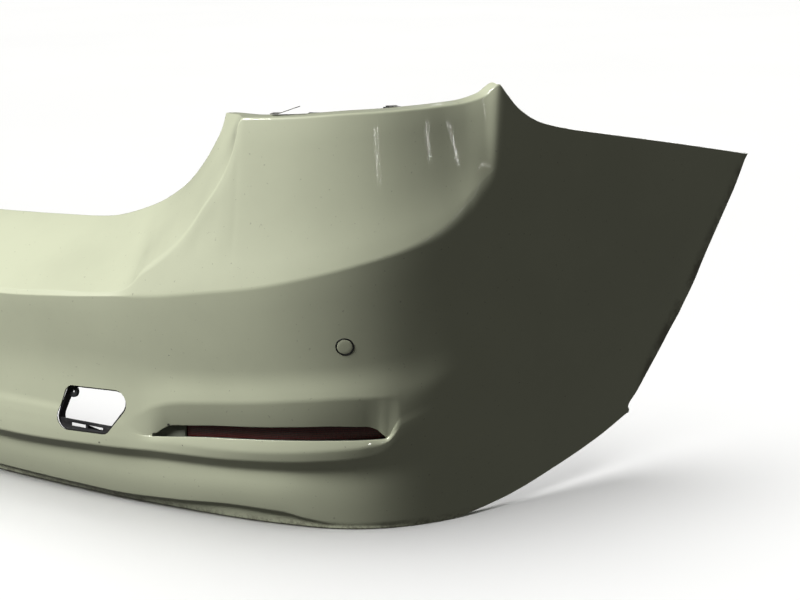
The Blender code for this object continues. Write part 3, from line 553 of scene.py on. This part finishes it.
def red_lens():
    """Deep red clear plastic with the small prisms of a retro-reflector behind its face."""
    n = Nodes("lens_red")
    wave = n.math("SINE", n.math("MULTIPLY", n.axis((0, 0, 1)), 2 * math.pi / (2.4 * MM)))
    depth = n.ramp(wave, -1.0, 1.0)
    dust = n.math("MULTIPLY", n.ramp(n.noise(120, 6.0, 0.7), 0.52, 0.75), 0.25)
    tone = n.mix(depth, (0.050, 0.004, 0.004), (0.145, 0.010, 0.010))
    return n.finish(Base_Color=n.mix(dust, tone, (0.10, 0.07, 0.06)), Roughness=0.28,
                    Specular_IOR_Level=0.4, Coat_Weight=0.8,
                    Coat_Roughness=n.math("ADD", 0.05, dust),
                    Normal=n.bump(depth, 0.35, 0.3 * MM))


def steel():
    """Phosphated spring steel: brushed, darker in patches, with a little rust on the edges."""
    n = Nodes("spring_steel")
    brushed = n.noise(220, 3.0, 0.6, stretch=(1, 12, 1))
    patch = n.ramp(n.noise(70, 6.0, 0.7), 0.40, 0.70)
    rust = n.ramp(n.noise(130, 7.0, 0.75, distortion=0.6), 0.56, 0.68)
    tone = n.mix(patch, (0.36, 0.35, 0.32), (0.17, 0.165, 0.155))
    return n.finish(Base_Color=n.mix(rust, tone, (0.13, 0.055, 0.022)),
                    Metallic=n.ramp(rust, 0, 1, 1.0, 0.1), Roughness=n.ramp(patch, 0, 1, 0.3, 0.6),
                    Normal=n.bump(brushed, 0.2, 0.1 * MM))


# ---- the skin ----
SOFT = 200                    # a radius that always reaches halfway along both neighbours
RADII = {                     # edge radius in millimetres, against the distance round
    "lower_edge": ((0, 2.5), (1350, 2.5)),
    "seam_inner": ((0, 1.5), (600, 1.5), (700, 4)),
    "seam": ((0, 3), (600, 3), (700, 12), (900, 20)),
    "band_low": ((0, 3.5), (720, 3.5), (800, SOFT)),
    "band_top": ((0, 2.5), (740, 3), (779, 8), (850, SOFT)),
    "shelf": ((0, 3), (740, 3), (779, 5), (850, SOFT)),
    "slot_low": ((0, SOFT), (400, SOFT), (420, 0.8), (762, 0.8), (779, 6), (850, SOFT)),
    "slot_mid": ((0, SOFT), (400, SOFT), (420, 1), (762, 1), (779, 6), (850, SOFT)),
    "slot_top": ((0, SOFT), (400, SOFT), (420, 1), (762, 1), (779, 6), (850, SOFT)),
    "recess": ((0, SOFT), (395, 60), (412, 4), (760, 3.5), (779, 8), (850, SOFT)),
    "shoulder": ((0, 3), (750, 3), (800, 5), (850, 12), (930, 50)),
    "ledge": ((0, 9), (430, 8), (500, 5), (600, 2.5), (1350, 2.5)),
    "well": ((0, 30), (500, 20), (600, 6), (1350, 3)),
    "trunk_edge": ((0, 3), (1350, 3)),
}
# Depth of the pocket that leads into the reflector slot: (distance round, inset).
TIP = ((0.442, 20.5 * MM), (0.447, 26 * MM), (0.456, 30 * MM), (0.4849, 32 * MM))
SLOT_FALL = 0.25              # slope of the slot's lower wall
SLOT_DROP = 0.3 * MM          # how far its upper wall drops from front to back
SLOT_ROWS = (0.3, 0.7, 1)     # rows of points on both walls, as shares of their depth
FILLET = 5                    # points on the curve at each character line
# The columns are evenly spaced between these distances round, and closer together in the fine run.
COLUMN_STOPS = (0, 0.40, TIP[0][0], SLOT[0] - 1 * MM, SLOT[0], 0.62, SLOT[1] - 8 * MM, SLOT[1],
                SLOT[1] + 1 * MM, SLOT[1] + 30 * MM, 0.88, 0.93, REACH - 2 * MM)
COLUMN_STEP = 5.0 * MM
FINE_FROM, FINE_TO, FINE_SHARE = 0.3, 0.93, 0.6
# Lines that have no flange at the wheel arch; there the last column is moved on along the skin.
UNFLANGED = ("ledge", "well", "trunk_edge", "flange_end", "lip_inner", "lower_edge", "seam_inner")
UNFLANGED_MOVE = (3 * MM, 0, 0)
FLANGE_MOVE = (1 * MM, 0, ARCH_FLANGE)
ARCH_BEND = 2 * MM            # radius of the bend where the arch flange is turned in
ARCH_BEND_STEPS = (1 / 3, 2 / 3, 1)


def fillets(points, radii):
    """Chain of points with a parabolic curve at each inner corner."""
    chain = [points[0]]
    for i in range(1, len(points) - 1):
        before, after = points[i - 1] - points[i], points[i + 1] - points[i]
        trim = min(radii[i], 0.49 * before.length, 0.49 * after.length)
        start = points[i] + before.normalized() * trim
        end = points[i] + after.normalized() * trim
        for k in range(FILLET):
            t = k / (FILLET - 1)
            chain.append(start.lerp(points[i], t).lerp(points[i].lerp(end, t), t))
    return chain + [points[-1]]


def skin_column(column, on_flange=False):
    """Points of one column in a lower and an upper run, which part at the reflector slot."""
    rows = section(column)
    names = list(rows)
    if on_flange:
        for name, row in rows.items():
            rows[name] = row + (UNFLANGED_MOVE if name in UNFLANGED else FLANGE_MOVE)
    points = [Vector(place(*rows[name])) for name in names]
    radii = []
    for name in names:
        knots = np.array(RADII.get(name, ((0, SOFT),)), float)
        radii.append(np.interp(rows[name][0] / MM, knots[:, 0], knots[:, 1]) * MM)
    middle = names.index("slot_mid")
    if not TIP[0][0] <= column <= SLOT[1] + SAME:
        chain = fillets(points, radii)
        split = 1 + FILLET * (middle - 1) + FILLET // 2
        return chain[:split + 1], chain[split:]
    depth = float(np.interp(column, *zip(*TIP)))
    if column > SLOT[0] - SAME:
        depth = SLOT_DEPTH
    fall = SLOT_FALL * max(0.0, depth - rows["slot_low"][2])
    deep = [Vector(place(rows[name][0], rows[name][1] - drop, depth))
            for name, drop in (("slot_low", fall), ("slot_top", SLOT_DROP))]
    low = fillets(points[:middle] + deep[:1], radii[:middle + 1])
    top = fillets(deep[1:] + points[middle + 1:], radii[middle:])
    low[-1:] = [low[-2].lerp(deep[0], t) for t in SLOT_ROWS]
    top[:1] = [top[1].lerp(deep[1], t) for t in reversed(SLOT_ROWS)]
    return low, top


def skin_columns():
    """Places of the columns of the right half, closer together round the lamp and the slot."""
    columns = []
    for start, end in zip(COLUMN_STOPS, COLUMN_STOPS[1:]):
        step = COLUMN_STEP * (FINE_SHARE if FINE_FROM <= start < FINE_TO else 1)
        count = max(1, math.ceil((end - start) / step))
        columns += [start + (end - start) * k / count for k in range(count)]
    return columns + [COLUMN_STOPS[-1]]


def half_skin():
    """Columns of points of the right half, from the centre line round to the arch flange."""
    grid = [skin_column(column) for column in skin_columns()]
    edge, flange = skin_column(REACH), skin_column(REACH, on_flange=True)
    before = grid[-1]
    for t in ARCH_BEND_STEPS:
        runs = []
        for near, corner, far in zip(before, edge, flange):
            runs.append([a.lerp(b, t).lerp(b.lerp(b + (c - b).normalized() * ARCH_BEND, t), t)
                         for a, b, c in zip(near, corner, far)])
        grid.append(tuple(runs))
    return grid + [flange]


def skin_sheet():
    """The outer face over both halves, open at the reflector slots."""
    right = half_skin()
    left = [tuple([Vector((-p.x, p.y, p.z)) for p in run] for run in runs)
            for runs in reversed(right[1:])]
    points, faces, shaded, grid = [], [], [], []
    for runs in left + right:
        column = []
        for run in runs:
            column.append(range(len(points), len(points) + len(run)))
            points += run
        grid.append(column)
    right_columns = skin_columns() + [REACH] * (len(ARCH_BEND_STEPS) + 1)
    columns = right_columns[:0:-1] + right_columns
    walls = len(SLOT_ROWS)
    for i, (here, there) in enumerate(zip(grid, grid[1:])):
        near, far = sorted(columns[i:i + 2])
        deep = TIP[0][0] <= near and far <= SLOT[1] + SAME
        pockets = (range(len(here[0]) - 1 - walls, len(here[0])), range(walls))
        for a, b, pocket in zip(here, there, pockets):
            for r in range(len(a) - 1):
                faces.append((a[r], b[r], b[r + 1], a[r + 1]))
                shaded.append(deep and r in pocket)
        if near < SLOT[0] - SAME or near > SLOT[1] - SAME:
            faces.append((here[0][-1], there[0][-1], there[1][0], here[1][0]))
            shaded.append(deep)
    mesh = bpy.data.meshes.new("skin")
    mesh.from_pydata(points, [], faces)
    # Pocket faces at the reflector slots take the third material, whose dark grey is painted shade.
    mesh.polygons.foreach_set("material_index", [2 if inside else 0 for inside in shaded])
    bm = bmesh.new()
    bm.from_mesh(mesh)
    bmesh.ops.remove_doubles(bm, verts=bm.verts, dist=MERGE)
    bmesh.ops.dissolve_degenerate(bm, dist=MERGE, edges=bm.edges)
    bm.to_mesh(mesh)
    bm.free()
    return mesh


def tow_cutter():
    """Cutter of the towing-eye opening, in the place of the frame that sits in it."""
    steps = 12
    matrix = frame_at(*TOW_CENTRE)
    inverse = matrix.inverted()
    corners = [(inverse @ on_face(*corner)).xy for corner in TOW_CORNERS]
    outline = []
    for i, corner in enumerate(corners):
        before = (corners[i - 1] - corner).normalized()
        after = (corners[(i + 1) % len(corners)] - corner).normalized()
        half = before.angle(after) / 2
        centre = corner + (before + after).normalized() * (TOW_ROUND / math.sin(half))
        start = corner + before * (TOW_ROUND / math.tan(half)) - centre
        end = corner + after * (TOW_ROUND / math.tan(half)) - centre
        turn = start.angle_signed(end)
        outline += [centre + Matrix.Rotation(-turn * k / steps, 2) @ start
                    for k in range(steps + 1)]
    bm = bmesh.new()
    face = bm.faces.new([bm.verts.new((*point, -CUT)) for point in outline])
    made = bmesh.ops.extrude_face_region(bm, geom=[face])["geom"]
    top = [v for v in made if isinstance(v, bmesh.types.BMVert)]
    bmesh.ops.translate(bm, verts=top, vec=(0, 0, 2 * CUT))
    bmesh.ops.recalc_face_normals(bm, faces=bm.faces)
    mesh = to_mesh(bm, "tow_cutter")
    mesh.transform(matrix)
    return mesh


def cut(body, meshes):
    """Cut closed meshes out of a body."""
    tools = []
    for mesh in meshes:
        tool = new_object("tool", mesh)
        modifier = body.modifiers.new("cut", "BOOLEAN")
        modifier.operation = "DIFFERENCE"
        modifier.solver = "MANIFOLD"
        modifier.object = tool
        tools.append(tool)
    apply_modifiers(body)
    for tool in tools:
        bpy.data.objects.remove(tool)


# ---- screw tabs, as in the CAD ----
def inward(distance):
    """Level direction into the car, square to the skin."""
    turn = float(np.interp(distance, ROUND, TURN))
    return Vector((-math.sin(turn), math.cos(turn), 0))


def axes(origin, x, y):
    """Matrix at an origin, with X along x and Z square to x and y."""
    z = x.cross(y).normalized()
    matrix = Matrix((x.normalized(), z.cross(x.normalized()), z)).transposed().to_4x4()
    matrix.translation = origin
    return matrix


def lamp_tab(column):
    """Level tab on the flange below the rear lamp."""
    distance, height, inset = line_point("trunk_edge", column)
    along = inward(distance)
    origin = Vector(place(distance, height - LAMP_TAB_DROP, inset + LAMP_TAB_INSET))
    return axes(origin, along, Vector((0, 0, 1)).cross(along))


def arch_tab(name, other):
    """Tab on the wheel-arch flange, midway between two character lines."""
    here, there = line_point(name, REACH), line_point(other, REACH)
    distance, height, inset = (here + there) / 2
    origin = Vector(place(distance - ARCH_TAB_BACK, height, inset + ARCH_FLANGE + ARCH_TAB_INSET))
    edge = Vector(place(*there)) - Vector(place(*here))
    across = inward(distance)
    matrix = axes(origin, across - across.project(edge), edge)
    return matrix @ Matrix.Translation((0, 0, ARCH_TAB_PROUD))


def lower_tab(distance):
    """Level tab at the foot, which the lower insert is screwed to."""
    along = inward(distance)
    origin = Vector(place(distance, LOWER_TAB + TAB_THICK / 2, LOWER_TAB_INSET))
    return axes(origin, along, Vector((0, 0, 1)).cross(along))


def tab_mesh():
    """Tab with rounded edges and a screw hole."""
    body = new_object("tab", box("tab", (-TAB_ROOT, TAB_LONG), (-TAB_WIDE / 2, TAB_WIDE / 2),
                                 (-TAB_THICK / 2, TAB_THICK / 2)))
    round_edges(body, TAB_EDGE)
    hole = turned("hole", pin_profile(TAB_HOLE_R, 8 * MM), 32)
    hole.transform(Matrix.Translation((TAB_HOLE, 0, 0)))
    cut(body, [hole])
    mesh = body.data
    bpy.data.objects.remove(body)
    return mesh


def build_skin(paint, plastic):
    """The whole cover: painted outside, bare plastic inside and on its tabs."""
    # The third material is overspray darkened with painted shade, for the pockets at the reflector
    # slots.
    body = new_object("cover_skin", skin_sheet(), [paint, plastic, overspray_and_painted_shade()])
    solidify = body.modifiers.new("wall", "SOLIDIFY")
    solidify.thickness = WALL
    solidify.offset = -1
    solidify.use_even_offset = True
    solidify.thickness_clamp = 1.0
    solidify.material_offset = 1
    solidify.material_offset_rim = 1
    holes = [tow_cutter()]
    for distance, height in SENSORS.values():
        for side in (1, -1):
            hole = turned("hole", pin_profile(SENSOR_HOLE_R, CUT))
            hole.transform(frame_at(distance, height, side))
            holes.append(hole)
    cut(body, holes)

    tabs = [lamp_tab(column) for column in LAMP_TABS]
    tabs += [arch_tab(name, other) for name, other in ARCH_TABS]
    tabs += [lower_tab(distance) for distance in LOWER_TABS]
    tab = tab_mesh()
    bm = bmesh.new()
    bm.from_mesh(body.data)
    for matrix in tabs:
        for placed in (matrix, mirror_x(matrix)):
            copy = tab.copy()
            copy.transform(placed)
            first = len(bm.faces)
            bm.from_mesh(copy)
            bm.faces.ensure_lookup_table()
            for face in bm.faces[first:]:
                face.material_index = 1
    bm.to_mesh(body.data)
    bm.free()
    shade(body.data, SHARP_SKIN)
    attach(body, "root")
    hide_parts("bumper_cover")


# ---- small pieces ----
PLASTIC_EDGE, SENSOR_EDGE, METAL_EDGE = 0.6 * MM, 0.5 * MM, 0.2 * MM


def refined(node, material, slot, width):
    """A CAD node's own shape with its edges rounded, in the node's place."""
    bm = bmesh.new()
    bm.from_mesh(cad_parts[node].data)
    bmesh.ops.remove_doubles(bm, verts=bm.verts, dist=MERGE)
    bmesh.ops.dissolve_limit(bm, angle_limit=math.radians(1), verts=bm.verts, edges=bm.edges)
    piece = new_object(node + "_fine", to_mesh(bm, node + "_fine"), [material])
    bevel = round_edges(piece, width)
    bevel.limit_method = "ANGLE"
    bevel.angle_limit = math.radians(32)
    apply_modifiers(piece)
    shade(piece.data, SHARP_PIECE)
    settle(piece, slot, node)


def settle(piece, slot, *nodes):
    """Give a piece its body, and hide the CAD nodes that it stands for."""
    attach(piece, "root")
    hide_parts(*nodes)


def sensor_profiles():
    """Half sections of a sensor's painted face and rubber ring, in its own frame."""
    face = [(0, 0.5 * MM), (5 * MM, 0.48 * MM), (8.3 * MM, 0.38 * MM), (8.8 * MM, 0.25 * MM),
            (9.1 * MM, 0), (9.2 * MM, -0.35 * MM), (9.2 * MM, -1.8 * MM), (0, -1.8 * MM)]
    ring = [(9.5 * MM, -0.5 * MM), (9.6 * MM, 0.05 * MM), (9.85 * MM, 0.35 * MM),
            (10.15 * MM, 0.45 * MM), (10.45 * MM, 0.35 * MM), (10.65 * MM, 0.05 * MM),
            (10.7 * MM, -0.3 * MM), (10.7 * MM, -4 * MM), (9.5 * MM, -4 * MM)]
    return {"face": face, "ring": ring}


def build_sensors(paint, plastic, ring_rubber):
    finishes = {"face": (paint, "paint_white"), "ring": (ring_rubber, "rubber_black")}
    for where, (distance, height) in SENSORS.items():
        for side, label in ((1, "right"), (-1, "left")):
            matrix = frame_at(distance, height, side)
            for kind, profile in sensor_profiles().items():
                node = f"sensor_{kind}_{where}_{label}"
                material, slot = finishes[kind]
                mesh = turned(node + "_fine", profile)
                mesh.transform(matrix)
                piece = new_object(node + "_fine", mesh, [material])
                shade(mesh, SHARP_PIECE)
                settle(piece, slot, node)
            for kind in ("body", "bracket"):
                refined(f"sensor_{kind}_{where}_{label}", plastic, "plastic_black", SENSOR_EDGE)


def lens_mesh(side):
    """Reflector lens with upright ribs moulded in its face and bevelled edges."""
    start, end = 0.4835, 0.7675
    pitch, rib, edge = 2.4 * MM, 0.35 * MM, 0.8 * MM
    front, back, half = 35.6 * MM, 39.4 * MM, 11.3 * MM
    per_rib = 4
    stations = per_rib * round((end - start) / pitch)
    bm = bmesh.new()
    rings = []
    for k in range(stations + 1):
        distance = start + (end - start) * k / stations
        inside = min(max(distance, SLOT[0]), SLOT[1])
        low, top = line_point("slot_low", inside), line_point("slot_top", inside)
        centre = (low[1] + top[1]) / 2
        face = front + rib * (0.5 - 0.5 * math.cos(2 * math.pi * k / per_rib))
        outline = ((-half, back), (-half, face + edge), (-half + edge, face), (0, face),
                   (half - edge, face), (half, face + edge), (half, back))
        ring = []
        for up, inset in outline:
            x, y, z = place(distance, centre + up, inset)
            ring.append(bm.verts.new((side * x, y, z)))
        rings.append(ring)
    for a, b in zip(rings, rings[1:]):
        for i in range(len(a)):
            j = (i + 1) % len(a)
            bm.faces.new((a[i], a[j], b[j], b[i]))
    bm.faces.new(rings[0])
    bm.faces.new(rings[-1])
    bmesh.ops.recalc_face_normals(bm, faces=bm.faces)
    return to_mesh(bm, "lens")


def build_reflectors(lens, plastic):
    for side, label in ((1, "right"), (-1, "left")):
        node = f"reflector_lens_{label}"
        mesh = lens_mesh(side)
        piece = new_object(node + "_fine", mesh, [lens])
        shade(mesh, SHARP_PIECE)
        settle(piece, "lens_red", node)
        refined(f"reflector_housing_{label}", plastic, "plastic_black", PLASTIC_EDGE)


def build_fixings(plastic, metal):
    refined("tow_eye_frame", plastic, "plastic_black", PLASTIC_EDGE)
    refined("tow_eye_clip", metal, "spring_steel", METAL_EDGE)
    for label in ("right", "left"):
        refined("lamp_strip_" + label, metal, "spring_steel", METAL_EDGE)
        for tab in ("lamp_outer", "arch_low", "arch_high", "lower_outer"):
            refined(f"spring_nut_{tab}_{label}", metal, "spring_steel", METAL_EDGE)


# ---- floor, light and camera ----
FLOOR_RADIUS, WALL_RADIUS, WALL_HEIGHT, STAGE_SIDES = 15, 14, 14.0, 96
FLOOR_DROP = 0.4 * MM         # the floor lies a little below the part's lowest point
KEY_TARGET = (0.35, -0.15, 0.25)
KEY_AZIMUTH, KEY_ELEVATION, KEY_AWAY, KEY_SIZE, KEY_POWER = 24, 44, 2.8, 0.9, 93
OVERHEAD_ANGLE, OVERHEAD_POWER = 70, 3.3
INSIDE_AT, INSIDE_TARGET, INSIDE_SIZE, INSIDE_POWER = (0, 2.6, 1.3), (0, 0, 0.2), (2.4, 1.2), 26
# Narrow lamps to the right, each as (azimuth, height, length, power).
STRIPS = ((73, 1.3, 1.6, 1.8), (65, 0.9, 0.6, 0.6), (41, 0.9, 0.6, 0.6), (42.5, 0.9, 0.6, 0.6))
STRIP_TARGET, STRIP_AWAY, STRIP_WIDTH = (0.75, 0.0, 0.35), 4, 0.008
SKY_COLOUR, SKY = (1.0, 0.99, 0.95, 1), 0.062
CAMERA_AT = (1.90197, -1.67929, 0.73963)
CAMERA_HEADING, CAMERA_PITCH, CAMERA_ROLL = 38, 76.5, -1    # degrees; a pitch of 90 is level
CAMERA_LENS, CAMERA_SENSOR = 76.5, 36                       # millimetres


def stage_material(name, colour, strength):
    """Pale studio surface that is seen but sheds hardly any light on the part."""
    n = Nodes(name)
    tone = n.mix(n.ramp(n.noise(0.8, 3.0), 0.3, 0.7), colour, tuple(c * 0.985 for c in colour))
    return n.finish(Base_Color=tone, Roughness=0.9, Specular_IOR_Level=0.1,
                    Emission_Color=colour, Emission_Strength=strength)


def build_stage():
    """Floor and a far round wall; neither lights the part, so that its side stays in shade."""
    disc, tube = bmesh.new(), bmesh.new()
    bmesh.ops.create_circle(disc, segments=STAGE_SIDES, radius=FLOOR_RADIUS, cap_ends=True)
    bmesh.ops.create_cone(tube, segments=STAGE_SIDES, radius1=WALL_RADIUS, radius2=WALL_RADIUS,
                          depth=WALL_HEIGHT)
    bmesh.ops.translate(tube, verts=tube.verts, vec=(0, 0, WALL_HEIGHT / 2))
    floor = new_object("floor", to_mesh(disc, "floor"),
                       [stage_material("floor", (0.93, 0.93, 0.92), 0.0)])
    wall = new_object("backdrop", to_mesh(tube, "backdrop"),
                      [stage_material("backdrop", (1, 1, 1), 0.93)])
    floor.location.z = -FLOOR_DROP
    for piece in (floor, wall):
        piece.visible_diffuse = False
        piece.visible_glossy = False
        piece.visible_shadow = False
    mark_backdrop(floor, wall)
    return floor


def area_light(name, origin, target, size, energy):
    data = bpy.data.lights.new(name, "AREA")
    data.shape = "RECTANGLE"
    data.size, data.size_y = size
    data.energy = energy
    light = bpy.data.objects.new(name, data)
    bpy.context.scene.collection.objects.link(light)
    light.location = origin
    light.rotation_euler = (Vector(target) - Vector(origin)).to_track_quat("-Z", "Y").to_euler()
    return light


def light_only(light, pieces, name):
    """Let a light fall on some pieces alone."""
    group = bpy.data.collections.new(name)
    for piece in pieces:
        group.objects.link(piece)
    light.light_linking.receiver_collection = group


def towards(azimuth, elevation, distance, centre):
    """Point at an azimuth in degrees to the car's left of straight behind."""
    a, e = math.radians(azimuth), math.radians(elevation)
    return (centre[0] - distance * math.cos(e) * math.sin(a),
            centre[1] - distance * math.cos(e) * math.cos(a),
            centre[2] + distance * math.sin(e))


def build_lights(floor):
    parts = [o for o in bpy.context.scene.objects
             if o.type == "MESH" and "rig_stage" not in o and not o.hide_render]
    origin = towards(KEY_AZIMUTH, KEY_ELEVATION, KEY_AWAY, KEY_TARGET)
    key = area_light("key", origin, KEY_TARGET, (KEY_SIZE, KEY_SIZE), KEY_POWER)
    light_only(key, parts, "lit_parts")
    overhead = bpy.data.objects.new("overhead", bpy.data.lights.new("overhead", "SUN"))
    bpy.context.scene.collection.objects.link(overhead)
    overhead.data.energy = OVERHEAD_POWER
    overhead.data.angle = math.radians(OVERHEAD_ANGLE)
    light_only(overhead, [floor], "lit_floor")
    inside = area_light("inside", INSIDE_AT, INSIDE_TARGET, INSIDE_SIZE, INSIDE_POWER)
    light_only(inside, parts, "lit_inside")
    # The narrow lamps are mirrored as thin curved lines beside the corner.
    for number, (azimuth, height, length, power) in enumerate(STRIPS):
        a = math.radians(azimuth)
        origin = (STRIP_TARGET[0] + STRIP_AWAY * math.sin(a), -STRIP_AWAY * math.cos(a), height)
        strip = area_light(f"strip_{number}", origin, STRIP_TARGET, (STRIP_WIDTH, length), power)
        strip.visible_diffuse = False
        strip.visible_shadow = False
        light_only(strip, parts, f"lit_strip_{number}")
    world = bpy.data.worlds.new("studio")
    bpy.context.scene.world = world
    world.use_nodes = True
    sky = world.node_tree.nodes["Background"]
    sky.inputs["Color"].default_value = SKY_COLOUR
    sky.inputs["Strength"].default_value = SKY


def build_camera():
    """Camera to the right of and behind the cover, a little above it."""
    data = bpy.data.cameras.new("camera")
    data.lens = CAMERA_LENS
    data.sensor_width = CAMERA_SENSOR
    camera = bpy.data.objects.new("camera", data)
    bpy.context.scene.collection.objects.link(camera)
    turn = (Matrix.Rotation(math.radians(CAMERA_HEADING), 4, "Z")
            @ Matrix.Rotation(math.radians(CAMERA_PITCH), 4, "X")
            @ Matrix.Rotation(math.radians(CAMERA_ROLL), 4, "Z"))
    camera.matrix_world = Matrix.Translation(CAMERA_AT) @ turn
    bpy.context.scene.camera = camera


def main():
    paint, plastic = paint_finish(), black_plastic()
    build_skin(paint, plastic)
    build_sensors(paint, plastic, rubber())
    build_reflectors(red_lens(), plastic)
    build_fixings(plastic, steel())
    build_lights(build_stage())
    build_camera()
    bpy.context.scene.view_settings.view_transform = "Standard"
    bpy.context.view_layer.update()


main()
